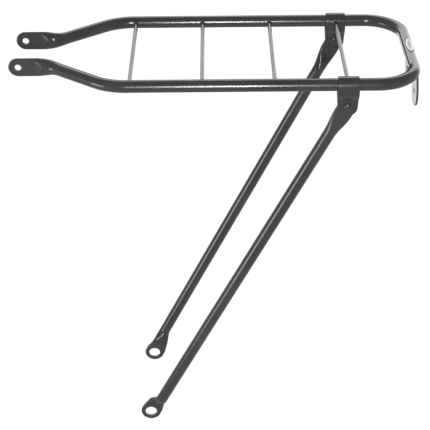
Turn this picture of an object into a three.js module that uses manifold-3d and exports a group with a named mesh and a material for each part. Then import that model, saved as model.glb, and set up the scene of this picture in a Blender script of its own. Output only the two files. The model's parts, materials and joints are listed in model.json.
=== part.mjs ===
// Bicycle rear luggage carrier: one bent tube hoop, four cross rods, two
// saddle clips and two stays that fold on rivets under the rails.
// Millimetres. +X to the bicycle's rear, +Y to its right side, +Z up.
// Origin: midpoint of the front bolt axis, between the two front tongues.

import * as THREE from 'three';
import { mergeVertices } from 'three/addons/utils/BufferGeometryUtils.js';
import Module from 'manifold-3d';

const wasm = await Module();
wasm.setup();

// ---- driving dimensions ----

// tube
const tubeDiameter = 12;
const tubeWall = 1.2;
const seamGap = 0.4; // the two walls of a flattened end stay this far apart inside

// hoop
const hoopLength = 380; // front bolt axis to the centre of the rear bar
const railSpacing = 147; // rail centre to rail centre
const rearCornerRadius = 38;
const tongueSpacing = 60.9; // middle of one front tongue to middle of the other
const neckAngle = 36.9; // the front arms turn in by this, in degrees
const neckEnd = 32.3; // front bolt axis to the corner where an arm meets its tongue
const tongueBendRadius = 22;
const shoulderRadius = 50; // where an arm meets its rail
const tongueHeight = 18.8; // a 12 mm tube pressed flat is half its girth wide
const tongueFlat = 19; // bolt axis to where the tongue starts to swell
const tongueSwell = 19; // flat to full round
const boltHoleDiameter = 6.5;

// cross rods
const rodDiameter = 4;
const rodCount = 4;
const firstRodBack = 19.15; // shoulder corner of the arms back to the first rod
const rodPitch = 68.3;
const weldRadius = 3.3; // weld fillet round a rod's end
const weldLength = 2.2;

// saddle clips
const clipThickness = 1.5;
const clipLength = 20; // along the rail
const clipEndRadius = 9.5;
const pivotDrop = 22.3; // rail centre down to the rivet

// stays
const axleForward = 114.1; // front bolt axis to the axle holes
const axleDrop = 417.4; // rail centres down to the axle holes
const axleSpacing = 104.9; // middle of one paddle to middle of the other
const stayFlatWidth = 18;
const stayFlat = 10; // rivet to where the flat starts to swell
const staySwell = 26; // flat to full round at the top
const stayTopStep = 2.5; // the tube's centre runs this far inboard of its top flat
const paddleDiameter = 22;
const axleHoleDiameter = 13;
const paddleFlat = 14; // axle hole to where the paddle starts to swell
const paddleSwell = 16; // flat to full round at the foot
const paddleStep = 9.2; // the paddle is set in from the tube's centre by this

// rivets
const rivetDiameter = 6;
const rivetHeadDiameter = 8.5;
const rivetHeadHeight = 2.4;

// lamp bracket
const bracketThickness = 2;
const bracketEarWidth = 29;
const bracketHoleSpacing = 50;
const bracketHoleDiameter = 5.5;
const bracketDrop = 46; // rail centre to the ears' lowest point
const bracketWebDrop = 19; // rail centre to the lower edge between the ears
const bracketTaper = 30; // past an ear's widest place, where its outer edge runs in to the bar, in degrees
const bracketSetback = 4.9; // centre of the rear bar to the middle of the sheet

// badge plate
const badgeLength = 34;
const badgeWidth = 8;
const badgeThickness = 0.6;

// clearances
const weldGap = 0.3; // between welded pieces
const runningGap = 0.3; // between the stay, the clip's legs and the rivet

// ---- sizes that follow ----

const tubeRadius = tubeDiameter / 2;
const boreRadius = tubeRadius - tubeWall;
const flatThickness = 2 * tubeWall + seamGap;
const halfRail = railSpacing / 2;
const halfTongue = tongueSpacing / 2;
const neckSlope = Math.tan(THREE.MathUtils.degToRad(neckAngle));
const shoulderX = neckEnd + (halfRail - halfTongue) / neckSlope;
const firstRod = shoulderX + firstRodBack;
const pivotX = firstRod + (rodCount - 1) * rodPitch;
const rivetHoleRadius = rivetDiameter / 2 + runningGap;
const clipBore = tubeRadius + weldGap;
const clipCentre = clipBore + clipThickness / 2;
const legCentre = flatThickness / 2 + runningGap + clipThickness / 2;
const stayRun = pivotX - axleForward;
const stayDrop = axleDrop - pivotDrop;
const stayLength = Math.hypot(stayRun, stayDrop);
const stayLean = Math.atan2(stayRun, stayDrop);
const stayInset = halfRail - axleSpacing / 2;

const insideFlat = 0.1; // the swelling tube starts this far inside its flat end
const ringSides = 24; // facets round a tube
const boreSides = 12;
const rodSides = 16;
const holeSides = 24;
const bendStep = 9; // degrees of bend to a facet
const sides = [['left', -1], ['right', 1]];

// ---- materials ----

function blackPaint() {
  return new THREE.MeshStandardMaterial({ color: 0x0f0e0d, roughness: 0.22, metalness: 0 });
}

function badgeFinish() {
  return new THREE.MeshStandardMaterial({ color: 0xc8c8c4, roughness: 0.3, metalness: 0.6 });
}

// ---- solids ----

function toSolid(geometry) {
  const bare = geometry.index ? geometry.toNonIndexed() : geometry.clone();
  bare.deleteAttribute('normal');
  bare.deleteAttribute('uv');
  const merged = mergeVertices(bare, 1e-4);
  return new wasm.Manifold(new wasm.Mesh({
    numProp: 3,
    vertProperties: new Float32Array(merged.attributes.position.array),
    triVerts: new Uint32Array(merged.index.array),
  }));
}

function toGeometry(solid) {
  const mesh = solid.getMesh();
  const geometry = new THREE.BufferGeometry();
  geometry.setAttribute('position', new THREE.BufferAttribute(mesh.vertProperties, 3));
  geometry.setIndex(new THREE.BufferAttribute(mesh.triVerts, 1));
  geometry.computeVertexNormals();
  return geometry;
}

function placed(geometry, { turn = [0, 0, 0], at = [0, 0, 0] }) {
  const matrix = new THREE.Matrix4().makeRotationFromEuler(new THREE.Euler(...turn));
  matrix.setPosition(...at);
  return geometry.clone().applyMatrix4(matrix);
}

// a round bar along Y, centred at a point
function barAlongY(radius, length, at, facets = holeSides) {
  return toSolid(placed(new THREE.CylinderGeometry(radius, radius, length, facets), { at }));
}

// ---- bent and flattened tube ----

// A path through the given corners with an arc of its own radius at each.
function roundedPath(corners) {
  const path = new THREE.Path();
  path.moveTo(corners[0].x, corners[0].y);
  for (let i = 1; i < corners.length - 1; i += 1) {
    const corner = new THREE.Vector2(corners[i].x, corners[i].y);
    const into = new THREE.Vector2(corners[i - 1].x, corners[i - 1].y).sub(corner).normalize();
    const out = new THREE.Vector2(corners[i + 1].x, corners[i + 1].y).sub(corner).normalize();
    const half = Math.acos(into.dot(out)) / 2;
    const radius = corners[i].radius;
    const start = corner.clone().addScaledVector(into, radius / Math.tan(half));
    const end = corner.clone().addScaledVector(out, radius / Math.tan(half));
    const middle = into.clone().add(out).normalize();
    const centre = corner.clone().addScaledVector(middle, radius / Math.sin(half));
    const from = Math.atan2(start.y - centre.y, start.x - centre.x);
    const to = Math.atan2(end.y - centre.y, end.x - centre.x);
    path.lineTo(start.x, start.y);
    path.absarc(centre.x, centre.y, radius, from, to, into.cross(out) > 0);
  }
  const last = corners[corners.length - 1];
  path.lineTo(last.x, last.y);
  return path;
}

// Stations along a flat path: straight stretches have only the cuts asked for,
// and an arc has one every arcStep degrees.
function stationsAlong(path, arcStep, cuts = []) {
  const stations = [];
  let travelled = 0;
  for (const curve of path.curves) {
    const length = curve.getLength();
    if (length < 1e-6) continue;
    const share = [0, 1];
    if (curve.isEllipseCurve) {
      const turn = THREE.MathUtils.radToDeg(length / curve.xRadius);
      const count = Math.max(2, Math.ceil(turn / arcStep));
      for (let i = 1; i < count; i += 1) share.push(i / count);
    }
    for (const cut of cuts) {
      const at = (cut - travelled) / length;
      if (at > 0.001 && at < 0.999 && !curve.isEllipseCurve) share.push(at);
    }
    share.sort((a, b) => a - b);
    for (const at of share) {
      if (at === 0 && stations.length > 0) continue;
      const point = curve.getPoint(at);
      const tangent = curve.getTangent(at);
      stations.push({ point, tangent, distance: travelled + at * length });
    }
    travelled += length;
  }
  return stations;
}

// Carries a round section along stations. Each station gives its centre, the
// two directions of the section and how far it reaches along each.
function sweptSection(stations, facets) {
  const circle = new THREE.Shape();
  circle.absarc(0, 0, 1, 0, 2 * Math.PI, false);
  const geometry = new THREE.ExtrudeGeometry(circle, {
    depth: 1,
    steps: stations.length - 1,
    curveSegments: facets / 2,
    bevelEnabled: false,
  });
  const position = geometry.attributes.position;
  const moved = new THREE.Vector3();
  for (let i = 0; i < position.count; i += 1) {
    const station = stations[Math.round(position.getZ(i) * (stations.length - 1))];
    moved.copy(station.centre);
    moved.addScaledVector(station.across, position.getX(i) * station.acrossReach);
    moved.addScaledVector(station.up, position.getY(i) * station.upReach);
    position.setXYZ(i, moved.x, moved.y, moved.z);
  }
  return toSolid(geometry);
}

// How far round the tube is, from 0 (pressed flat) to 1, at a distance from its end.
function roundness(distance, flat, swell) {
  return THREE.MathUtils.smoothstep(distance, flat, flat + swell);
}

// Distances that need a station of their own where a flat end swells to round.
function swellCuts(flat, swell) {
  return [0, 0.15, 0.3, 0.5, 0.7, 0.85, 1].map((share) => flat + share * swell);
}

// A flat end seen from the side: round about its hole at the origin, parallel
// to the end of its flat, then narrowing into the tube. It points to +X.
function flatEndOutline(endRadius, halfHeight, flat, root, rootHalfHeight, holeRadius) {
  const outline = new THREE.Shape();
  outline.moveTo(root, -rootHalfHeight);
  outline.lineTo(root, rootHalfHeight);
  outline.lineTo(flat, halfHeight);
  outline.lineTo(0, endRadius);
  outline.absarc(0, 0, endRadius, Math.PI / 2, 1.5 * Math.PI, false);
  outline.lineTo(flat, -halfHeight);
  const hole = new THREE.Path();
  hole.absarc(0, 0, holeRadius, 0, 2 * Math.PI, true);
  outline.holes.push(hole);
  return outline;
}

// An outline drawn in X and Z as a plate with its middle plane at y = 0.
function plateInXZ(outline, thickness, curveSegments = holeSides / 2) {
  const plate = new THREE.ExtrudeGeometry(outline, {
    depth: thickness,
    curveSegments,
    bevelEnabled: false,
  });
  plate.translate(0, 0, -thickness / 2);
  plate.rotateX(Math.PI / 2);
  return plate;
}

// An outline drawn in Y and Z as a plate with its middle plane at x = 0.
function plateInYZ(outline, thickness, curveSegments = holeSides / 2) {
  const plate = new THREE.ExtrudeGeometry(outline, {
    depth: thickness,
    curveSegments,
    bevelEnabled: false,
  });
  plate.translate(0, 0, -thickness / 2);
  const [x, y, z] = [0, 1, 2].map((axis) => new THREE.Vector3().setComponent(axis, 1));
  plate.applyMatrix4(new THREE.Matrix4().makeBasis(y, z, x));
  return plate;
}

// ---- hoop ----

function hoopPath() {
  const right = [
    { x: 0, y: halfTongue },
    { x: neckEnd, y: halfTongue, radius: tongueBendRadius },
    { x: shoulderX, y: halfRail, radius: shoulderRadius },
    { x: hoopLength, y: halfRail, radius: rearCornerRadius },
  ];
  const left = right.map(({ x, y, radius }) => ({ x, y: -y, radius })).reverse();
  return roundedPath([...right, ...left]);
}

// The hoop's sections between two points short of its ends, with the reach of
// the round tube and of the flat: thin across, tall upwards.
function hoopSections(start, reach, thin, tall) {
  const path = hoopPath();
  const total = path.getLength();
  const nearCuts = [start, ...swellCuts(tongueFlat, tongueSwell)];
  const stations = stationsAlong(path, bendStep, [...nearCuts, ...nearCuts.map((cut) => total - cut)]);
  const kept = stations.filter(({ distance }) => Math.abs(distance - total / 2) < total / 2 - start + 0.01);
  return kept.map(({ point, tangent, distance }) => {
    const round = roundness(Math.min(distance, total - distance), tongueFlat, tongueSwell);
    return {
      centre: new THREE.Vector3(point.x, point.y, 0),
      across: new THREE.Vector3(-tangent.y, tangent.x, 0),
      up: new THREE.Vector3(0, 0, 1),
      acrossReach: THREE.MathUtils.lerp(thin, reach, round),
      upReach: THREE.MathUtils.lerp(tall, reach, round),
    };
  });
}

function hoopSolid() {
  const halfFlat = flatThickness / 2 - insideFlat;
  const halfTall = tongueHeight / 2 - insideFlat;
  const tube = sweptSection(hoopSections(tongueFlat - 8, tubeRadius, halfFlat, halfTall), ringSides);
  const bore = sweptSection(
    hoopSections(boltHoleDiameter / 4, boreRadius, seamGap / 2, tongueHeight / 2 - tubeWall),
    boreSides,
  );
  const holeRadius = boltHoleDiameter / 2;
  const end = tongueHeight / 2;
  const outline = flatEndOutline(end, end, tongueFlat, tongueFlat + 7, end * 0.6, holeRadius);
  let solid = tube;
  for (const [, sign] of sides) {
    const tongue = placed(plateInXZ(outline, flatThickness), { at: [0, sign * halfTongue, 0] });
    solid = solid.add(toSolid(tongue));
  }
  return solid.subtract(bore).subtract(barAlongY(holeRadius, tongueSpacing * 2, [0, 0, 0]));
}

// ---- cross rods ----

// A straight rod with a weld fillet at each end. On the bare rails the ends are
// hollowed to sit on the tube, and between the clips they end square.
function rodSolid(x, betweenClips) {
  const seatRadius = betweenClips ? clipBore + clipThickness + weldGap : tubeRadius + weldGap;
  const reach = halfRail - seatRadius + (betweenClips ? 0 : weldLength);
  const upper = [
    [rodDiameter / 2, reach - weldLength - 1.4],
    [rodDiameter / 2 + 0.35, reach - weldLength - 0.5],
    [weldRadius, reach - weldLength],
    [weldRadius, reach],
    [0, reach],
  ];
  if (betweenClips) upper.splice(2, 1);
  const lower = upper.map(([radius, along]) => [radius, -along]).reverse();
  const profile = [...lower, ...upper].map(([radius, along]) => new THREE.Vector2(radius, along));
  const rod = toSolid(placed(new THREE.LatheGeometry(profile, rodSides), { at: [x, 0, 0] }));
  if (betweenClips) return rod;
  return sides.reduce((solid, [, sign]) => {
    const seat = new THREE.CylinderGeometry(seatRadius, seatRadius, 4 * weldRadius, 48);
    const cutter = placed(seat, { turn: [0, 0, Math.PI / 2], at: [x, sign * halfRail, 0] });
    return solid.subtract(toSolid(cutter));
  }, rod);
}

// ---- saddle clips ----

// The outline of a sheet of one thickness bent along a path.
function stripOutline(path, thickness) {
  const stations = stationsAlong(path, 12);
  const edge = (side) => stations.map(({ point, tangent }) => new THREE.Vector2(
    point.x - side * tangent.y * thickness / 2,
    point.y + side * tangent.x * thickness / 2,
  ));
  return new THREE.Shape([...edge(1), ...edge(-1).reverse()]);
}

// The sheet goes over the rail, and its two legs close on the stay's flat end.
function clipSolid(sign) {
  const bottom = -pivotDrop - clipEndRadius - 1;
  const pinch = -pivotDrop + clipEndRadius - 2.5;
  const legs = [
    { x: -legCentre, y: bottom },
    { x: -legCentre, y: pinch, radius: 2.5 },
    { x: -clipCentre, y: pinch + 7, radius: 2.5 },
    { x: -clipCentre, y: clipCentre, radius: clipCentre - 0.01 },
  ];
  const mirrored = legs.map(({ x, y, radius }) => ({ x: -x, y, radius })).reverse();
  const strip = stripOutline(roundedPath([...legs, ...mirrored]), clipThickness);
  const sheet = plateInYZ(strip, clipLength);
  const half = clipLength / 2;
  const side = new THREE.Shape();
  side.moveTo(half, clipCentre + clipThickness);
  side.lineTo(-half, clipCentre + clipThickness);
  side.lineTo(-half, -pivotDrop + clipEndRadius / 3);
  side.absarc(0, -pivotDrop, clipEndRadius, Math.PI, 2 * Math.PI, false);
  side.lineTo(half, -pivotDrop + clipEndRadius / 3);
  const width = 2 * (clipCentre + clipThickness);
  const trimmed = toSolid(sheet).intersect(toSolid(plateInXZ(side, width)));
  const drilled = trimmed.subtract(barAlongY(rivetHoleRadius, width, [0, 0, -pivotDrop]));
  return drilled.translate([pivotX, sign * halfRail, 0]);
}

// ---- stays ----

// A stay is drawn with its rivet hole at the origin and its axle hole straight
// below, at z = -stayLength. inward is the side that faces the wheel.
function staySections(inward, start, reach, thin, topTall, bottomTall) {
  const ends = [start, stayLength - start];
  const footCuts = swellCuts(paddleFlat, paddleSwell).map((cut) => stayLength - cut);
  const cuts = [...swellCuts(stayFlat, staySwell), ...footCuts];
  const footInset = stayInset - paddleStep;
  return [...ends, ...cuts].sort((a, b) => a - b).map((distance) => {
    const fromPaddle = stayLength - distance;
    const top = roundness(distance, stayFlat, staySwell);
    const bottom = roundness(fromPaddle, paddleFlat, paddleSwell);
    const round = Math.min(top, bottom);
    const straight = THREE.MathUtils.lerp(stayTopStep, footInset, distance / stayLength);
    const y = THREE.MathUtils.lerp(stayInset, straight, bottom) * top;
    const tall = distance < stayLength / 2 ? topTall : bottomTall;
    return {
      centre: new THREE.Vector3(0, inward * y, -distance),
      across: new THREE.Vector3(0, 1, 0),
      up: new THREE.Vector3(1, 0, 0),
      acrossReach: THREE.MathUtils.lerp(thin, reach, round),
      upReach: THREE.MathUtils.lerp(tall, reach, round),
    };
  });
}

function staySolid(inward) {
  const halfFlat = flatThickness / 2 - insideFlat;
  const topHalf = stayFlatWidth / 2;
  const paddleHalf = paddleDiameter / 2;
  const tube = sweptSection(
    staySections(inward, stayFlat - 5, tubeRadius, halfFlat, topHalf - insideFlat, topHalf - insideFlat),
    ringSides,
  );
  const bore = sweptSection(
    staySections(inward, rivetHoleRadius / 2, boreRadius, seamGap / 2, topHalf - tubeWall, topHalf - tubeWall),
    boreSides,
  );
  const topOutline = flatEndOutline(topHalf, topHalf, stayFlat, stayFlat + 7, topHalf * 0.6, rivetHoleRadius);
  const top = plateInXZ(topOutline, flatThickness).rotateY(Math.PI / 2);
  const paddleOutline = flatEndOutline(
    paddleHalf,
    topHalf,
    paddleFlat,
    paddleFlat + 7,
    topHalf * 0.6,
    axleHoleDiameter / 2,
  );
  const paddle = plateInXZ(paddleOutline, flatThickness).rotateY(-Math.PI / 2);
  paddle.translate(0, inward * stayInset, -stayLength);
  return tube.add(toSolid(top)).add(toSolid(paddle)).subtract(bore);
}

// ---- rivets ----

function rivetGeometry() {
  const under = legCentre + clipThickness / 2 + runningGap;
  const shank = rivetDiameter / 2;
  const head = rivetHeadDiameter / 2;
  const dome = [0, 1, 2, 3, 4].map((step) => {
    const angle = (step / 4) * Math.PI / 2;
    return [head * Math.cos(angle), under + 0.5 + (rivetHeadHeight - 0.5) * Math.sin(angle)];
  });
  dome[4][0] = 0;
  const upper = [[shank, under], [head, under], ...dome];
  const lower = upper.map(([radius, along]) => [radius, -along]).reverse();
  const profile = [...lower, ...upper].map(([radius, along]) => new THREE.Vector2(radius, along));
  return new THREE.LatheGeometry(profile, holeSides);
}

// ---- lamp bracket ----

function bracketSolid() {
  const ear = bracketEarWidth / 2;
  const column = bracketHoleSpacing / 2;
  const inner = column - ear;
  const earCentre = -bracketDrop + ear;
  const taper = THREE.MathUtils.degToRad(bracketTaper);
  const leaves = [column + ear * Math.cos(taper), earCentre + ear * Math.sin(taper)];
  const top = column + (ear + earCentre * Math.sin(taper)) / Math.cos(taper);
  const outline = new THREE.Shape();
  outline.moveTo(-top, 0);
  outline.lineTo(-leaves[0], leaves[1]);
  outline.absarc(-column, earCentre, ear, Math.PI - taper, 2 * Math.PI, false);
  outline.lineTo(-inner, -bracketWebDrop - 3);
  outline.absarc(-inner + 3, -bracketWebDrop - 3, 3, Math.PI, Math.PI / 2, true);
  outline.lineTo(inner - 3, -bracketWebDrop);
  outline.absarc(inner - 3, -bracketWebDrop - 3, 3, Math.PI / 2, 0, true);
  outline.lineTo(inner, earCentre);
  outline.absarc(column, earCentre, ear, Math.PI, 2 * Math.PI + taper, false);
  outline.lineTo(top, 0);
  for (const [, sign] of sides) {
    const hole = new THREE.Path();
    hole.absarc(sign * column, earCentre, bracketHoleDiameter / 2, 0, 2 * Math.PI, true);
    outline.holes.push(hole);
  }
  const plate = placed(plateInYZ(outline, bracketThickness, 12), { at: [hoopLength + bracketSetback, 0, 0] });
  const seat = barAlongY(tubeRadius + weldGap, 4 * (column + ear), [hoopLength, 0, 0], 48);
  return toSolid(plate).subtract(seat);
}

// ---- badge plate ----

function badgeSolid() {
  const outline = new THREE.Shape();
  outline.absellipse(0, 0, badgeWidth / 2, badgeLength / 2, 0, 2 * Math.PI, false, 0);
  const column = new THREE.ExtrudeGeometry(outline, { depth: 20, curveSegments: 14, bevelEnabled: false });
  const inside = tubeRadius + weldGap;
  const shell = barAlongY(inside + badgeThickness, badgeLength * 2, [0, 0, 0], 48)
    .subtract(barAlongY(inside, badgeLength * 3, [0, 0, 0], 48));
  return shell.intersect(toSolid(column)).translate([hoopLength, 0, 0]);
}

// ---- assembly ----

const carrier = new THREE.Group();

function addPiece(name, geometry, material, parent = carrier) {
  const mesh = new THREE.Mesh(geometry, material);
  mesh.name = name;
  parent.add(mesh);
}

addPiece('hoop', toGeometry(hoopSolid()), blackPaint());

for (let i = 0; i < rodCount; i += 1) {
  const betweenClips = i === rodCount - 1;
  addPiece(`cross_rod_${i + 1}`, toGeometry(rodSolid(firstRod + i * rodPitch, betweenClips)), blackPaint());
}

for (const [side, sign] of sides) {
  addPiece(`${side}_clip`, toGeometry(clipSolid(sign)), blackPaint());

  const pivot = new THREE.Group();
  pivot.position.set(pivotX, sign * halfRail, -pivotDrop);
  carrier.add(pivot);
  addPiece(`${side}_rivet`, rivetGeometry(), blackPaint(), pivot);

  const swing = new THREE.Group();
  swing.rotation.y = stayLean;
  pivot.add(swing);
  addPiece(`${side}_stay`, toGeometry(staySolid(-sign)), blackPaint(), swing);
}

addPiece('lamp_bracket', toGeometry(bracketSolid()), blackPaint());
addPiece('rear_badge_plate', toGeometry(badgeSolid()), badgeFinish());

export default carrier;
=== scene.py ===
import json
import math

import bmesh
import bpy
import numpy as np
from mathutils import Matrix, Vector


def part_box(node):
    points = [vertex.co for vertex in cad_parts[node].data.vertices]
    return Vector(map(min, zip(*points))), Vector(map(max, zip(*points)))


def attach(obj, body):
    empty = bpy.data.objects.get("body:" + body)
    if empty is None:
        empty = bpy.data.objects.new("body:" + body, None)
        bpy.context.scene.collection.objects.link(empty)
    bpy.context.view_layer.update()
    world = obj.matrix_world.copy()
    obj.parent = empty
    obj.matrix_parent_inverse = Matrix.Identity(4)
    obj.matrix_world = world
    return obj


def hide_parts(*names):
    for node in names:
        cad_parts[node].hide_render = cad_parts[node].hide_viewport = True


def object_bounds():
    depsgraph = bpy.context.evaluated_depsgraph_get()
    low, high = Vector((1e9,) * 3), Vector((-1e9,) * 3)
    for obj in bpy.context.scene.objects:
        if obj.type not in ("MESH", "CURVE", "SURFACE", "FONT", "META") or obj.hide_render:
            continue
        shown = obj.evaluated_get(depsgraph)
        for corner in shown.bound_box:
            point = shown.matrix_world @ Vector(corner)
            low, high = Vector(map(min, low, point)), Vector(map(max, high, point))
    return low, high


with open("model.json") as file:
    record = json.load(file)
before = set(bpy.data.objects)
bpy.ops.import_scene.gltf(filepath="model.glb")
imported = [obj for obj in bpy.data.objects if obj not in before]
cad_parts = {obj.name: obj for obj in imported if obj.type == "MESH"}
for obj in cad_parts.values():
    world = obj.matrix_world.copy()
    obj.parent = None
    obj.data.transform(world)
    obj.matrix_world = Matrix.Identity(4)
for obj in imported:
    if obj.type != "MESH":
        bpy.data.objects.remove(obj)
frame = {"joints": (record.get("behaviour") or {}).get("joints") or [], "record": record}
cad_box = [list(corner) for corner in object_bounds()]
MM = 0.001

# ---------------------------------------------------------------------------
# Camera, floor and light. A pale floor lies under the carrier, and a sky of
# dark and bright fields gives the enamel what it mirrors. A tall window behind
# the camera draws the thin highlight down the tubes, and a wide one low on
# the left lights the near stay.
# ---------------------------------------------------------------------------

camera_data = bpy.data.cameras.new("camera")
camera_data.sensor_width = 36.0
camera_data.lens = 103.31
camera = bpy.data.objects.new("camera", camera_data)
camera.location = (0.1887, -1.1069, 0.5177)
camera.rotation_euler = (math.radians(57.41), math.radians(0.45), math.radians(-0.25))
bpy.context.scene.collection.objects.link(camera)
bpy.context.scene.camera = camera
bpy.context.scene.view_settings.view_transform = "Standard"


def make_floor():
    """A flat white square on the carrier's lowest point, lit from within so that it keeps no
    shadow. The enamel mirrors the sky and not the floor."""
    size = 12.0
    level = cad_box[0][2]
    corners = [(-size, -size, level), (size, -size, level), (size, size, level), (-size, size, level)]
    mesh = bpy.data.meshes.new("floor")
    mesh.from_pydata(corners, [], [(0, 1, 2, 3)])
    floor = bpy.data.objects.new("floor", mesh)
    bpy.context.scene.collection.objects.link(floor)
    paper = bpy.data.materials.new("pale_floor")
    paper.use_nodes = True
    shader = paper.node_tree.nodes["Principled BSDF"]
    shader.inputs["Base Color"].default_value = (0.03, 0.03, 0.03, 1)
    shader.inputs["Roughness"].default_value = 0.9
    shader.inputs["Emission Color"].default_value = (1, 1, 1, 1)
    shader.inputs["Emission Strength"].default_value = 0.97
    mesh.materials.append(paper)
    floor.visible_glossy = False


def maths(tree, operation, first, second):
    """A maths node that takes sockets or plain numbers."""
    node = tree.nodes.new("ShaderNodeMath")
    node.operation = operation
    for slot, value in enumerate((first, second)):
        if isinstance(value, (int, float)):
            node.inputs[slot].default_value = value
        else:
            tree.links.new(value, node.inputs[slot])
    return node.outputs[0]


def weighted(tree, *pairs):
    """The sum of some values, each times its weight."""
    total = 0.0
    for value, weight in pairs:
        total = maths(tree, "ADD", total, maths(tree, "MULTIPLY", value, weight))
    return total


def spread(tree, value, low, high, to_low=0.0, to_high=1.0):
    """Low becomes to_low, high becomes to_high, and values beyond them are held."""
    node = tree.nodes.new("ShaderNodeMapRange")
    tree.links.new(value, node.inputs["Value"])
    for label, number in (("From Min", low), ("From Max", high), ("To Min", to_low), ("To Max", to_high)):
        node.inputs[label].default_value = number
    return node.outputs["Result"]


def ease(tree, *limits):
    """As spread, with a smooth S between low and high."""
    result = spread(tree, *limits)
    result.node.interpolation_type = "SMOOTHSTEP"
    return result


def make_sky():
    """Strengths by direction. An even dim room turns dark straight behind the carrier, which
    keeps the tubes' edges black. About that dark field lies a bright ring that fades towards
    the ground, and low in it on the left a small pale card shows in the lamp bracket. The
    camera itself sees plain white."""
    front, zenith, unlit = 0.6, 0.48, 0.12
    ring_strength, ring_slant, ring_low, ring_high = 2.9, 0.5, -0.35, -0.05
    card_strength = 1.8
    world = bpy.data.worlds.new("sky")
    bpy.context.scene.world = world
    world.use_nodes = True
    tree = world.node_tree
    background = tree.nodes["Background"]
    background.inputs["Color"].default_value = (1, 1, 1, 1)
    split = tree.nodes.new("ShaderNodeSeparateXYZ")
    tree.links.new(tree.nodes.new("ShaderNodeTexCoord").outputs["Generated"], split.inputs["Vector"])
    across, depth, up = (split.outputs[axis] for axis in "XYZ")

    behind = weighted(tree, (depth, 0.95), (up, -0.3))
    room = ease(tree, up, -0.2, 0.6, front, zenith)
    room = maths(tree, "MULTIPLY", room, ease(tree, behind, 0.78, 0.92, 1.0, unlit))

    slanted = weighted(tree, (up, 1.0), (across, ring_slant))
    band = maths(tree, "MULTIPLY", ease(tree, depth, 0.55, 0.8), ease(tree, depth, 0.9, 0.97, 1.0, 0.0))
    ring = maths(tree, "MULTIPLY", band, ease(tree, slanted, ring_low, ring_high))

    low_left = weighted(tree, (depth, 0.86), (up, -0.41), (across, -0.3))
    card = ease(tree, low_left, 0.965, 0.985, 0.0, card_strength)

    total = weighted(tree, (room, 1.0), (card, 1.0), (ring, ring_strength))
    to_camera = tree.nodes.new("ShaderNodeLightPath").outputs["Is Camera Ray"]
    total = maths(tree, "MULTIPLY", total, maths(tree, "SUBTRACT", 1.0, to_camera))
    tree.links.new(maths(tree, "ADD", total, to_camera), background.inputs["Strength"])


def make_window(name, place, aim, width, height, power):
    """A soft rectangular light turned to a point on the carrier."""
    light = bpy.data.lights.new(name, "AREA")
    light.shape = "RECTANGLE"
    light.size = width
    light.size_y = height
    light.energy = power
    lamp = bpy.data.objects.new(name, light)
    lamp.location = place
    lamp.rotation_euler = (Vector(aim) - Vector(place)).to_track_quat("-Z", "Y").to_euler()
    bpy.context.scene.collection.objects.link(lamp)


make_floor()
make_sky()
make_window("tall_window", (0.215, -2.2, 0.46), (0.2, 0, 0), 0.24, 0.9, 28.0)
make_window("left_window", (-1.9, -1.2, -0.34), (0.22, -0.07, -0.22), 1.0, 0.9, 19.0)

# ---------------------------------------------------------------------------
# Hoop: one steel tube bent flat-wise into a U at the rear. Both front arms
# turn in and end in a tongue, pressed flat in a die, rounded at the tip and
# drilled for a bolt. The whole carrier is dipped in gloss black enamel.
# ---------------------------------------------------------------------------

TUBE = 6.0 * MM  # outer radius
PRESSED = 1.4 * MM  # half the thickness of a pressed end

pivots = {joint["name"].split("_")[0]: joint["pos_m"] for joint in frame["joints"]}
openings = {row["name"]: np.mean(row["box_m"], axis=0) for row in frame["record"]["physics"]["openings"]}


def bent_path(corners, radii):
    """Straight lines through the corners with an arc at each inner one. Returns knots a
    degree apart on the arcs: distance along the path, place and heading."""
    corners = np.asarray(corners, float)
    legs = np.diff(corners, axis=0)
    headings = np.unwrap(np.arctan2(legs[:, 1], legs[:, 0]))
    places, turns = [corners[0]], [headings[0]]
    for corner, before, after, radius in zip(corners[1:-1], headings[:-1], headings[1:], radii):
        turn = after - before
        cut = radius * math.tan(abs(turn) / 2)
        start = corner - cut * np.array([math.cos(before), math.sin(before)])
        left = np.array([-math.sin(before), math.cos(before)]) * math.copysign(radius, turn)
        heading = np.linspace(before, after, int(abs(math.degrees(turn))) + 2)
        swing = np.stack([np.sin(heading), -np.cos(heading)], 1) * math.copysign(radius, turn)
        places.extend(start + left + swing)
        turns.extend(heading)
    places.append(corners[-1])
    turns.append(headings[-1])
    places = np.array(places)
    steps = np.linalg.norm(np.diff(places, axis=0), axis=1)
    return np.concatenate([[0], np.cumsum(steps)]), places, np.array(turns)


def along(path, distance):
    """Place and heading at distances along a bent path, straight on beyond its ends."""
    knots, places, turns = path
    inside = np.clip(distance, 0, knots[-1])
    heading = np.interp(inside, knots, turns)
    place = np.stack([np.interp(inside, knots, places[:, axis]) for axis in (0, 1)], 1)
    over = (distance - inside)[:, None]
    return place + over * np.stack([np.cos(heading), np.sin(heading)], 1), heading


def rise(value, low, high):
    """0 below low, 1 above high, and a smooth S between."""
    share = np.clip((value - low) / (high - low), 0, 1)
    return share * share * (3 - 2 * share)


def soft_least(first, second, blend):
    """The smaller of two values, rounded over where they are within blend of each other."""
    share = np.clip(0.5 + 0.5 * (second - first) / blend, 0, 1)
    return second + (first - second) * share - blend * share * (1 - share)


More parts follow.
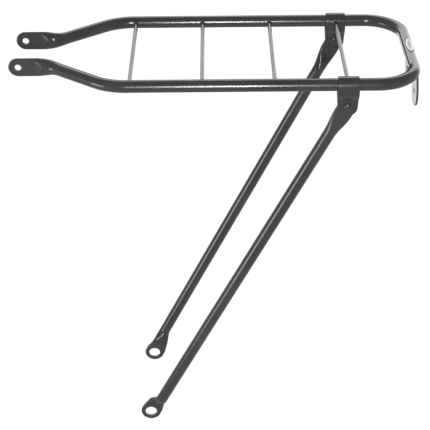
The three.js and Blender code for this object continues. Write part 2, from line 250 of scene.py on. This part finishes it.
def skin(name, points):
    """A closed surface from a grid of points whose columns wrap round. Rows that shrink to
    a point close the ends, and the faces are turned outwards."""
    rows, columns = points.shape[:2]
    index = np.arange(rows * columns).reshape(rows, columns)
    here, there = index[:-1], index[1:]
    quads = np.stack([here, np.roll(here, -1, 1), np.roll(there, -1, 1), there], -1).reshape(-1, 4)
    mesh = bpy.data.meshes.new(name)
    mesh.from_pydata(points.reshape(-1, 3).tolist(), [], quads.tolist())
    work = bmesh.new()
    work.from_mesh(mesh)
    bmesh.ops.remove_doubles(work, verts=work.verts, dist=2e-7)
    bmesh.ops.dissolve_degenerate(work, edges=work.edges, dist=1e-8)
    bmesh.ops.recalc_face_normals(work, faces=work.faces)
    if work.calc_volume(signed=True) < 0:
        bmesh.ops.reverse_faces(work, faces=work.faces)
    work.to_mesh(mesh)
    work.free()
    mesh.shade_smooth()
    piece = bpy.data.objects.new(name, mesh)
    bpy.context.scene.collection.objects.link(piece)
    return piece


def pressed_skin(name, centre, thin, wide, half, full, beyond, face, bulge, columns=64):
    """The skin of a tube or sheet that is flat in places. Each row is a section: it runs from
    -half to +half along wide, and its reach along thin is the smaller of the flat face's level
    and an ellipse of height bulge, which falls to nothing at the outline. full is the outline's
    half width and beyond how far the row lies past the middle of a round end."""
    turn = np.linspace(0, 2 * np.pi, columns, endpoint=False)[None, :]
    tall = half[:, None] * np.sin(turn)
    inward = np.clip(1 - np.hypot(beyond[:, None], tall) / full[:, None], 0, 1)
    swollen = bulge[:, None] * np.sqrt(1 - (1 - inward) ** 2)
    reach = soft_least(face[:, None] + 0 * tall, swollen, 0.5 * MM) * np.sign(np.round(np.cos(turn), 9))
    points = centre[:, None] + reach[..., None] * thin[:, None] + tall[..., None] * wide[:, None]
    return skin(name, points)


def lathe(name, profile, columns, centre, axis=(0, 1, 0)):
    """A profile of (radius, place along the axis) turned about an axis through the centre."""
    axis = np.asarray(axis, float) / np.linalg.norm(axis)
    side = np.cross(axis, (0.0, 0.0, 1.0) if abs(axis[2]) < 0.9 else (1.0, 0.0, 0.0))
    side /= np.linalg.norm(side)
    other = np.cross(axis, side)
    turn = np.linspace(0, 2 * np.pi, columns, endpoint=False)
    ring = np.cos(turn)[:, None] * side + np.sin(turn)[:, None] * other
    profile = np.asarray(profile, float)
    points = profile[:, None, :1] * ring[None] + profile[:, None, 1:] * axis
    return skin(name, points + np.asarray(centre, float))


def drill(piece, centre, radius, half_thickness, axis=(0, 1, 0), rim=0.35 * MM):
    """Cuts a round hole through a flat part, with its two edges rounded over by rim."""
    sweep = np.radians(np.linspace(0, 75, 6))
    curve = np.stack([radius + rim * (1 - np.cos(sweep)), half_thickness - rim * (1 - np.sin(sweep))], 1)
    flare = curve[-1] + np.array([math.sin(sweep[-1]), math.cos(sweep[-1])]) * 1.2 * MM
    far = [flare[0], flare[1] + 1.5 * MM]
    upper = np.vstack([curve, flare, far, [0, far[1]]])
    lower = upper[::-1] * (1, -1)
    cutter = lathe("cutter", np.vstack([lower, upper]), 72, centre, axis)
    cut = piece.modifiers.new("hole", "BOOLEAN")
    cut.operation = "DIFFERENCE"
    cut.solver = "EXACT"
    cut.object = cutter
    bpy.context.view_layer.update()
    finished = bpy.data.meshes.new_from_object(piece.evaluated_get(bpy.context.evaluated_depsgraph_get()))
    piece.modifiers.clear()
    old, piece.data = piece.data, finished
    finished.name = old.name
    bpy.data.meshes.remove(old)
    spare = cutter.data
    bpy.data.objects.remove(cutter)
    bpy.data.meshes.remove(spare)
    finished.shade_smooth()


def smooth_faces(piece, angle=40):
    """Smooth shading that keeps flat faces flat and breaks only at sharp edges."""
    piece.data.set_sharp_from_angle(angle=math.radians(angle))
    weigh = piece.modifiers.new("flat faces lead", "WEIGHTED_NORMAL")
    weigh.keep_sharp = True
    weigh.mode = "FACE_AREA"


def make_hoop():
    """The section is carried along the bent path, tongue tip to tongue tip. Its half width and
    its flat face's level go from the tongue's values to the tube's over the swell."""
    low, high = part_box("hoop")
    rail = high.y - TUBE
    rear = high.x - TUBE
    tongue = abs(openings["left_tongue_hole"][1])
    tip = high.z
    neck = 32.3 * MM
    shoulder = neck + (rail - tongue) / math.tan(math.radians(36.9))
    side = [(0, tongue), (neck, tongue), (shoulder, rail), (rear, rail)]
    corners = side + [(x, -y) for x, y in reversed(side)]
    bends = [22 * MM, 50 * MM, 38 * MM]
    path = bent_path(corners, bends + bends[::-1])
    length = path[0][-1]

    tip_rows = -tip * np.cos(np.radians(np.linspace(0, 88, 24)))
    tongue_rows = np.linspace(0, 48 * MM, 49)
    arm_rows = np.arange(49.5 * MM, 120 * MM, 2 * MM)
    rail_rows = np.arange(122 * MM, 342 * MM, 5 * MM)
    corner_rows = np.arange(343 * MM, length / 2 - 34 * MM, 1.6 * MM)
    bar_rows = np.linspace(length / 2 - 33 * MM, length / 2, 9)
    first = np.concatenate([tip_rows, tongue_rows, arm_rows, rail_rows, corner_rows, bar_rows])
    distance = np.concatenate([first, length - first[-2::-1]])
    from_end = np.minimum(distance, length - distance)

    place, heading = along(path, distance)
    centre = np.column_stack([place, np.zeros(len(place))])
    thin = np.column_stack([-np.sin(heading), np.cos(heading), 0 * heading])
    wide = np.tile([0.0, 0.0, 1.0], (len(place), 1))
    round_ = rise(from_end, 17 * MM, 43 * MM)
    full = tip + (TUBE - tip) * round_
    beyond = np.clip(-from_end, 0, tip)
    half = np.sqrt(np.clip(full**2 - beyond**2, 0, None))
    face = PRESSED + (TUBE + 0.6 * MM - PRESSED) * rise(from_end, 13 * MM, 29 * MM)
    bulge = 3.0 * MM + (TUBE - 3.0 * MM) * rise(from_end, 11 * MM, 29 * MM)
    hoop = pressed_skin("hoop_tube", centre, thin, wide, half, full, beyond, face, bulge)
    for name in ("left_tongue_hole", "right_tongue_hole"):
        drill(hoop, openings[name], 3.25 * MM, PRESSED)
    smooth_faces(hoop)
    return hoop


def enamel_surface():
    """A node group for stoved gloss enamel. Peel is a fine noise that dimples the surface, Dust a
    sparse noise that dulls it in specks, Drift a slow noise that shifts tone and gloss."""
    group = bpy.data.node_groups.new("enamel surface", "ShaderNodeTree")
    socket = group.interface.new_socket
    wanted = {"Tone": 0.03, "Gloss Roughness": 0.2, "Peel Size": 900.0, "Peel Depth": 0.1}
    for label, default in wanted.items():
        socket(label, in_out="INPUT", socket_type="NodeSocketFloat").default_value = default
    socket("Color", in_out="OUTPUT", socket_type="NodeSocketColor")
    socket("Roughness", in_out="OUTPUT", socket_type="NodeSocketFloat")
    socket("Normal", in_out="OUTPUT", socket_type="NodeSocketVector")
    nodes, links = group.nodes, group.links
    given, made = nodes.new("NodeGroupInput"), nodes.new("NodeGroupOutput")
    place = nodes.new("ShaderNodeTexCoord").outputs["Object"]

    def noise(scale, detail):
        node = nodes.new("ShaderNodeTexNoise")
        links.new(place, node.inputs["Vector"])
        node.inputs["Scale"].default_value = scale
        node.inputs["Detail"].default_value = detail
        return node.outputs["Fac"]

    drift = noise(14.0, 3.0)
    dust = spread(group, noise(1500.0, 2.0), 0.66, 0.74)
    tone = maths(group, "MULTIPLY", given.outputs["Tone"], spread(group, drift, 0.3, 0.7, 0.8, 1.25))
    tone = weighted(group, (tone, 1.0), (dust, 0.02))
    warm = nodes.new("ShaderNodeCombineColor")
    links.new(tone, warm.inputs["Red"])
    links.new(maths(group, "MULTIPLY", tone, 0.93), warm.inputs["Green"])
    links.new(maths(group, "MULTIPLY", tone, 0.89), warm.inputs["Blue"])
    links.new(warm.outputs["Color"], made.inputs["Color"])
    gloss = given.outputs["Gloss Roughness"]
    rough = maths(group, "MULTIPLY", gloss, spread(group, drift, 0.3, 0.7, 0.8, 1.3))
    links.new(weighted(group, (rough, 1.0), (dust, 0.25)), made.inputs["Roughness"])
    peel = nodes.new("ShaderNodeTexNoise")
    links.new(place, peel.inputs["Vector"])
    links.new(given.outputs["Peel Size"], peel.inputs["Scale"])
    peel.inputs["Detail"].default_value = 1.0
    dimple = nodes.new("ShaderNodeBump")
    dimple.inputs["Distance"].default_value = 0.0002
    links.new(given.outputs["Peel Depth"], dimple.inputs["Strength"])
    links.new(peel.outputs["Fac"], dimple.inputs["Height"])
    links.new(dimple.outputs["Normal"], made.inputs["Normal"])
    return group


enamel = enamel_surface()


def enamel_material(name, tone, roughness, peel_size=450.0, peel_depth=0.05):
    """Black enamel under a clear gloss: the group's maps feed one Principled shader."""
    material = bpy.data.materials.new(name)
    material.use_nodes = True
    nodes, links = material.node_tree.nodes, material.node_tree.links
    shader = nodes["Principled BSDF"]
    coat = nodes.new("ShaderNodeGroup")
    coat.node_tree = enamel
    coat.inputs["Tone"].default_value = tone
    coat.inputs["Gloss Roughness"].default_value = roughness
    coat.inputs["Peel Size"].default_value = peel_size
    coat.inputs["Peel Depth"].default_value = peel_depth
    links.new(coat.outputs["Color"], shader.inputs["Base Color"])
    links.new(coat.outputs["Roughness"], shader.inputs["Roughness"])
    links.new(coat.outputs["Normal"], shader.inputs["Normal"])
    shader.inputs["IOR"].default_value = 1.5
    return material


def fit(piece, material, body, slot, *nodes):
    """Gives a finished piece its material and its body, and hides the CAD nodes it stands for. The slot is
    not used.
    """
    piece.data.materials.clear()
    piece.data.materials.append(material)
    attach(piece, body)
    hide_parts(*nodes)


tube_enamel = enamel_material("tube_enamel", 0.03, 0.16)
fit(make_hoop(), tube_enamel, "frame", "tube_enamel", "hoop")

# ---------------------------------------------------------------------------
# Cross rods: four straight steel rods between the rails, welded at both ends.
# The last one runs between the two clips. Each weld is a small uneven fillet.
# ---------------------------------------------------------------------------


def make_rod(node, seed):
    """A rod along Y. At each end its radius grows in a hollow curve to the weld's, the base of
    the curve lies on the rail's round side, and a last row closes inside the rail."""
    low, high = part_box(node)
    x = (low.x + high.x) / 2
    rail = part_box("hoop")[1].y - TUBE
    radius, weld, reach = 2.0 * MM, 3.3 * MM, 1.9 * MM
    wander = np.random.default_rng(seed)
    turn = np.linspace(0, 2 * np.pi, 32, endpoint=False)
    sheet = 1.6 * MM if high.y < rail - TUBE - 1.5 * MM else 0.0
    ends = []
    for side in (-1, 1):
        wobble = 1 + 0.14 * np.sin(3 * turn + wander.uniform(0, 6))
        wobble = wobble + 0.09 * np.sin(5 * turn + wander.uniform(0, 6))
        share = np.linspace(0, 1, 9)[:, None]
        ring = radius + (weld - radius) * wobble * share**2
        seat = rail - sheet - np.sqrt(TUBE**2 - (ring * np.sin(turn)) ** 2)
        place = seat - reach * wobble * (1 - share) ** 2 + 0.05 * MM
        inner = np.stack([x + ring * np.cos(turn), side * place, ring * np.sin(turn)], -1)
        buried = inner[-1:] + np.array([0, side * 0.9 * MM, 0])
        middle = np.array([x, 0, 0])
        cap = middle + (buried - middle) * (0, 1, 0)
        rows = np.concatenate([inner, buried, cap.mean(1, keepdims=True).repeat(32, 1)])
        ends.append(rows)
    return skin(node + "_bar", np.concatenate([ends[0][::-1], ends[1]]))


rod_enamel = enamel_material("rod_enamel", 0.03, 0.2, peel_size=600.0)
for number in range(1, 5):
    rod = make_rod(f"cross_rod_{number}", seed=number)
    smooth_faces(rod, 60)
    fit(rod, rod_enamel, "frame", "rod_enamel", f"cross_rod_{number}")

# ---------------------------------------------------------------------------
# Clips: a strip of steel sheet bent over each rail. Its two legs close in
# below the rail on the flat end of the stay, and are rounded about the rivet.
# ---------------------------------------------------------------------------


def make_clip(side, sign):
    """The strip's section is carried along its bent middle line, leg tip to leg tip."""
    low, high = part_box(f"{side}_clip")
    pivot = pivots[side]
    thickness = 1.5 * MM
    saddle = (high.y - low.y - thickness) / 2
    leg = PRESSED + 0.3 * MM + thickness / 2
    tip = 9.5 * MM
    drop = -pivot[2]
    pinch = -drop + tip - 2.5 * MM
    half_line = [(-leg, -drop), (-leg, pinch), (-saddle, pinch + 7 * MM), (-saddle, saddle)]
    corners = half_line + [(-y, z) for y, z in reversed(half_line)]
    path = bent_path(corners, [2.5 * MM, 2.5 * MM, saddle, saddle, 2.5 * MM, 2.5 * MM])
    length = path[0][-1]
    tip_rows = -tip * np.cos(np.radians(np.linspace(0, 88, 20)))
    first = np.concatenate([tip_rows, np.linspace(0, length / 2, 60)])
    distance = np.concatenate([first, length - first[-2::-1]])
    from_end = np.minimum(distance, length - distance)
    place, heading = along(path, distance)
    centre = np.column_stack([0 * heading + pivot[0], sign * abs(pivot[1]) + place[:, 0], place[:, 1]])
    thin = np.column_stack([0 * heading, -np.sin(heading), np.cos(heading)])
    wide = np.tile([1.0, 0.0, 0.0], (len(heading), 1))
    full = tip + ((high.x - low.x) / 2 - tip) * rise(from_end, 0, 9 * MM)
    beyond = np.clip(-from_end, 0, tip)
    half = np.sqrt(np.clip(full**2 - beyond**2, 0, None))
    face = np.full(len(heading), thickness / 2)
    bulge = np.full(len(heading), 2.6 * MM)
    clip = pressed_skin(f"{side}_saddle_clip", centre, thin, wide, half, full, beyond, face, bulge)
    for out in (-1, 1):
        middle = (pivot[0], pivot[1] + out * leg, pivot[2])
        drill(clip, middle, 3.3 * MM, thickness / 2, rim=0.2 * MM)
    smooth_faces(clip)
    return clip


sheet_enamel = enamel_material("sheet_enamel", 0.028, 0.18, peel_size=500.0)
for side, sign in (("left", -1), ("right", 1)):
    fit(make_clip(side, sign), sheet_enamel, "frame", "sheet_enamel", f"{side}_clip")

# ---------------------------------------------------------------------------
# Stays: straight tubes pressed flat at both ends. The top turns on the rivet
# between the clip's legs; the foot is a round paddle with the axle hole,
# set in from the tube's middle towards the wheel.
# ---------------------------------------------------------------------------


def make_stay(side, sign):
    """The section is carried down the line from the rivet to the axle hole. The middle line
    starts in the clip's plane, steps in to the tube, leans towards the wheel, and steps in
    again to the paddle's plane."""
    pivot = np.array(pivots[side])
    hole = openings[f"{side}_axle_hole"]
    down = np.array([hole[0] - pivot[0], 0, hole[2] - pivot[2]])
    length = np.linalg.norm(down)
    down /= length
    inset = abs(pivot[1]) - abs(hole[1])
    top_step, foot_step = 2.5 * MM, 9.2 * MM
    top, paddle = 9.0 * MM, 11.0 * MM
    rows = [
        -top * np.cos(np.radians(np.linspace(0, 88, 22))),
        np.linspace(0, 44 * MM, 45),
        np.arange(50 * MM, length - 46 * MM, 6 * MM),
        np.linspace(length - 42 * MM, length, 48),
        length + paddle * np.cos(np.radians(np.linspace(88, 0, 24))),
    ]
    distance = np.concatenate(rows)
    foot = length - distance
    round_ = np.minimum(rise(distance, 9 * MM, 36 * MM), rise(foot, 13 * MM, 30 * MM))
    straight = top_step + (inset - foot_step - top_step) * distance / length
    inward = (inset + (straight - inset) * rise(foot, 14 * MM, 30 * MM)) * rise(distance, 10 * MM, 36 * MM)
    thin = np.tile([0.0, 1.0, 0.0], (len(distance), 1))
    across = np.cross(down, (0.0, 1.0, 0.0))
    wide = np.tile(across, (len(distance), 1))
    centre = pivot + distance[:, None] * down + np.outer(inward, (0, -sign, 0))
    beyond = np.clip(-distance, 0, top) + np.clip(-foot, 0, paddle)
    flat = top + (paddle - top) * (distance > length / 2)
    belly = top + (paddle - top) * (1 - rise(foot, 0.3 * paddle, 1.5 * paddle))
    full = np.where(distance > length / 2, belly, top)
    full = full + (TUBE - full) * round_
    full = np.where(beyond > 0, flat, full)
    half = np.sqrt(np.clip(full**2 - beyond**2, 0, None))
    face = PRESSED + (TUBE + 0.6 * MM - PRESSED) * round_
    bulge = 3.4 * MM + (TUBE - 3.4 * MM) * round_
    stay = pressed_skin(f"{side}_stay_tube", centre, thin, wide, half, full, beyond, face, bulge)
    drill(stay, pivot, 3.3 * MM, PRESSED, rim=0.2 * MM)
    drill(stay, hole, 6.5 * MM, PRESSED)
    smooth_faces(stay)
    return stay


for side, sign in (("left", -1), ("right", 1)):
    fit(make_stay(side, sign), tube_enamel, f"{side}_stay_body", "tube_enamel", f"{side}_stay")

# ---------------------------------------------------------------------------
# Rivets: the outer head is a low dome, the inner one was hammered over and
# is flatter and a little wider. Both carry the same enamel.
# ---------------------------------------------------------------------------


def make_rivet(side, sign):
    """A profile turned about the rivet's axis: a quarter ellipse for each head, and the shank."""
    pivot = pivots[side]
    under = PRESSED + 0.3 * MM + 1.5 * MM
    sweep = np.linspace(0, np.pi / 2, 12)

    def head(radius, height):
        dome = np.stack([radius * np.cos(sweep), under + 0.4 * MM + (height - 0.4 * MM) * np.sin(sweep)], 1)
        dome[-1, 0] = 0
        return np.vstack([[3.0 * MM, under], [radius - 0.15 * MM, under], dome])

    outer = head(4.25 * MM, 2.3 * MM)
    inner = head(4.5 * MM, 1.7 * MM)[::-1] * (1, -1)
    profile = np.vstack([inner, outer])
    return lathe(f"{side}_pivot_rivet", profile, 48, pivot, (0, sign, 0))


rivet_enamel = enamel_material("rivet_enamel", 0.03, 0.2, peel_size=700.0, peel_depth=0.12)
for side, sign in (("left", -1), ("right", 1)):
    rivet = make_rivet(side, sign)
    smooth_faces(rivet, 50)
    fit(rivet, rivet_enamel, "frame", "sheet_enamel", f"{side}_rivet")

# ---------------------------------------------------------------------------
# Lamp bracket: a flat sheet under the rear bar with two round ears, each with
# a screw hole, welded along its top edge to the underside of the bar.
# ---------------------------------------------------------------------------


def rounded_plate(name, outline, thickness, rim, x):
    """A flat outline in Y and Z given a thickness along X. Its edge is a row of insets that
    follow a quarter circle, and the two faces are single polygons."""
    before, after = np.roll(outline, 1, 0), np.roll(outline, -1, 0)
    tangent = after - before
    tangent /= np.linalg.norm(tangent, axis=1)[:, None]
    normal = np.stack([tangent[:, 1], -tangent[:, 0]], 1)
    sweep = np.linspace(0, np.pi / 2, 5)
    insets = rim * (1 - np.cos(sweep))
    levels = thickness / 2 - rim + rim * np.sin(sweep)
    steps = list(zip(insets[::-1], -levels[::-1])) + list(zip(insets, levels))
    rings = []
    for inset, level in steps:
        flat = outline - inset * normal
        rings.append(np.column_stack([np.full(len(flat), x + level), flat]))
    count = len(outline)
    index = np.arange(len(rings) * count).reshape(len(rings), count)
    here, there = index[:-1], index[1:]
    quads = np.stack([here, np.roll(here, -1, 1), np.roll(there, -1, 1), there], -1).reshape(-1, 4)
    mesh = bpy.data.meshes.new(name)
    faces = quads.tolist() + [index[0].tolist()[::-1], index[-1].tolist()]
    mesh.from_pydata(np.concatenate(rings).tolist(), [], faces)
    work = bmesh.new()
    work.from_mesh(mesh)
    bmesh.ops.recalc_face_normals(work, faces=work.faces)
    if work.calc_volume(signed=True) < 0:
        bmesh.ops.reverse_faces(work, faces=work.faces)
    work.to_mesh(mesh)
    work.free()
    mesh.shade_smooth()
    piece = bpy.data.objects.new(name, mesh)
    bpy.context.scene.collection.objects.link(piece)
    return piece


def make_bracket():
    """Outline: out and down from the bar to an ear, round it, up into the gap between the
    ears, and mirrored. The outer edge meets the ear where its own slope touches the circle."""
    low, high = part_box("lamp_bracket")
    ear, hole, half_sheet, edge = 14.5 * MM, 2.75 * MM, 1.0 * MM, 0.35 * MM
    middle = high.y - ear
    ear_level = low.z + ear
    gap, fillet = middle - ear, 3 * MM
    web = -19 * MM  # lower edge of the sheet between the ears
    slope = np.radians(30)
    arc = np.radians(np.arange(30, -181, -6))
    right_ear = np.stack([middle + ear * np.cos(arc), ear_level + ear * np.sin(arc)], 1)
    turn_in = np.radians(np.arange(0, 91, 10))
    notch = np.stack([gap - fillet + fillet * np.cos(turn_in), web - fillet + fillet * np.sin(turn_in)], 1)
    corner = 2 * MM
    level = high.z + 0.6 * MM - corner
    reach = middle + (ear - corner - (level - ear_level) * np.sin(slope)) / np.cos(slope)
    turn_out = np.radians(np.arange(90, 29, -10))
    crown = np.stack([reach + corner * np.cos(turn_out), level + corner * np.sin(turn_out)], 1)
    right = np.vstack([crown, right_ear, notch])
    outline = np.vstack([right, (right * (-1, 1))[::-1]])
    x = (low.x + high.x) / 2
    bracket = rounded_plate("lamp_bracket_plate", outline, high.x - low.x, edge, x)
    for out in (-1, 1):
        drill(bracket, (x, out * middle, ear_level), hole, half_sheet, (1, 0, 0), 0.3 * MM)
    smooth_faces(bracket)
    return bracket


fit(make_bracket(), sheet_enamel, "frame", "sheet_enamel", "lamp_bracket")

# ---------------------------------------------------------------------------
# Badge plate: a small oval plate stuck over the middle of the rear bar. Its pale
# field is a painted highlight, its dark border painted shade, and a plain grey bar stands where a mark
# would be.
# ---------------------------------------------------------------------------


def make_badge():
    """Rings of an ellipse laid on the bar's round top; the rim falls away to the tube."""
    low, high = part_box("rear_badge_plate")
    centre_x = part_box("hoop")[1].x - TUBE
    half_x, half_y = (high.x - low.x) / 2, (high.y - low.y) / 2
    turn = np.linspace(0, 2 * np.pi, 96, endpoint=False)
    share = np.concatenate([np.linspace(0, 0.9, 10), [0.94, 0.97, 0.99, 1.0, 1.0, 0.9, 0.5, 0.0]])
    height = np.concatenate([np.full(10, 0.4), [0.39, 0.36, 0.28, 0.15, -0.2, -0.25, -0.25, -0.25]]) * MM
    across = np.outer(share, np.cos(turn)) * half_x / TUBE
    lengthways = np.outer(share, np.sin(turn)) * half_y
    radius = TUBE + height[:, None]
    points = np.stack([centre_x + radius * np.sin(across), lengthways, radius * np.cos(across)], -1)
    badge = skin("rear_badge", points)
    layer = badge.data.uv_layers.new(name="badge")
    corner = np.empty(len(badge.data.loops), int)
    badge.data.loops.foreach_get("vertex_index", corner)
    place = np.empty(len(badge.data.vertices) * 3)
    badge.data.vertices.foreach_get("co", place)
    place = place.reshape(-1, 3)[corner]
    plan = np.column_stack([(place[:, 0] - centre_x) / half_x, place[:, 1] / half_y])
    layer.data.foreach_set("uv", plan.ravel().astype(np.float32))
    return badge


def badge_material():
    """Distance from the middle picks the dark border, which is painted shade, or the pale
    field, which is a painted highlight; a small oval in the middle of the field is grey."""
    material = bpy.data.materials.new("badge_foil")
    material.use_nodes = True
    nodes, links = material.node_tree.nodes, material.node_tree.links
    shader = nodes["Principled BSDF"]
    plan = nodes.new("ShaderNodeUVMap")
    plan.uv_map = "badge"

    def oval(scale_x, scale_y, inner, outer):
        squeeze = nodes.new("ShaderNodeMapping")
        squeeze.inputs["Scale"].default_value = (scale_x, scale_y, 0)
        links.new(plan.outputs["UV"], squeeze.inputs["Vector"])
        length = nodes.new("ShaderNodeVectorMath")
        length.operation = "LENGTH"
        links.new(squeeze.outputs["Vector"], length.inputs[0])
        return spread(material.node_tree, length.outputs["Value"], inner, outer)

    def blend(factor, first, second):
        mix = nodes.new("ShaderNodeMix")
        mix.data_type = "RGBA"
        links.new(factor, mix.inputs["Factor"])
        for slot, value in ((6, first), (7, second)):
            if isinstance(value, tuple):
                mix.inputs[slot].default_value = value
            else:
                links.new(value, mix.inputs[slot])
        return mix.outputs[2]

    # The pale field is a painted highlight, and the near-black border round it is painted shade.
    field = blend(oval(2.6, 1.9, 0.9, 1.1), (0.3, 0.3, 0.3, 1), (0.72, 0.72, 0.7, 1))
    whole = blend(oval(1, 1, 0.8, 0.86), field, (0.02, 0.02, 0.02, 1))
    links.new(whole, shader.inputs["Base Color"])
    grain = nodes.new("ShaderNodeTexNoise")
    grain.inputs["Scale"].default_value = 600.0
    links.new(nodes.new("ShaderNodeTexCoord").outputs["Object"], grain.inputs["Vector"])
    dull = spread(material.node_tree, grain.outputs["Fac"], 0.0, 1.0, 0.25, 0.45)
    links.new(dull, shader.inputs["Roughness"])
    return material


badge = make_badge()
smooth_faces(badge, 60)
fit(badge, badge_material(), "frame", "badge_foil", "rear_badge_plate")
